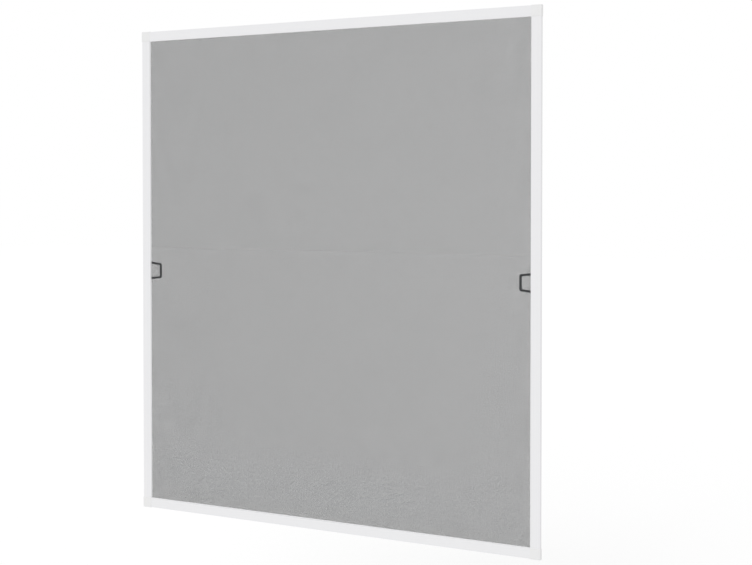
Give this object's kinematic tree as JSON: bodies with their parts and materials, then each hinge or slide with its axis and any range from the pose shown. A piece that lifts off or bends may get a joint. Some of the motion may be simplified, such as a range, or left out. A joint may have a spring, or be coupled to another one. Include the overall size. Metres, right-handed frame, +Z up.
{
  "type": "window screen frame",
  "caption": "Insect screen for a window: a thin white rectangular frame with a stretched grey mesh, a dark pull loop at each side, brush seals and hanging hooks at the back.",
  "frame": {"origin": "middle of the whole screen, hooks included", "axes": "+Z up along the stiles, +X to the right along the rails, -Y towards the weather side (the plain front face), +Y towards the window"},
  "size_m": [1.402, 0.0296, 1.502],
  "materials": {
    "frame_coat": "white powder coat on extruded aluminium, satin",
    "corner_plastic": "white moulded plastic",
    "mesh_cloth": "coated glass-fibre mesh, grey",
    "spline_rubber": "soft grey cord",
    "handle_plastic": "dark grey moulded plastic",
    "brush_pile": "grey pile",
    "hook_steel": "stainless strip"
  },
  "bodies": {
    "root": {"top_rail": "frame_coat", "bottom_rail": "frame_coat", "left_stile": "frame_coat", "right_stile": "frame_coat", "top_left_corner": "corner_plastic", "top_right_corner": "corner_plastic", "bottom_left_corner": "corner_plastic", "bottom_right_corner": "corner_plastic", "insect_mesh": "mesh_cloth", "top_spline": "spline_rubber", "bottom_spline": "spline_rubber", "left_spline": "spline_rubber", "right_spline": "spline_rubber", "left_handle": "handle_plastic", "right_handle": "handle_plastic", "top_brush_seal": "brush_pile", "bottom_brush_seal": "brush_pile", "left_brush_seal": "brush_pile", "right_brush_seal": "brush_pile", "top_left_hook": "hook_steel", "top_right_hook": "hook_steel", "bottom_left_hook": "hook_steel", "bottom_right_hook": "hook_steel"}
  },
  "joints": []
}
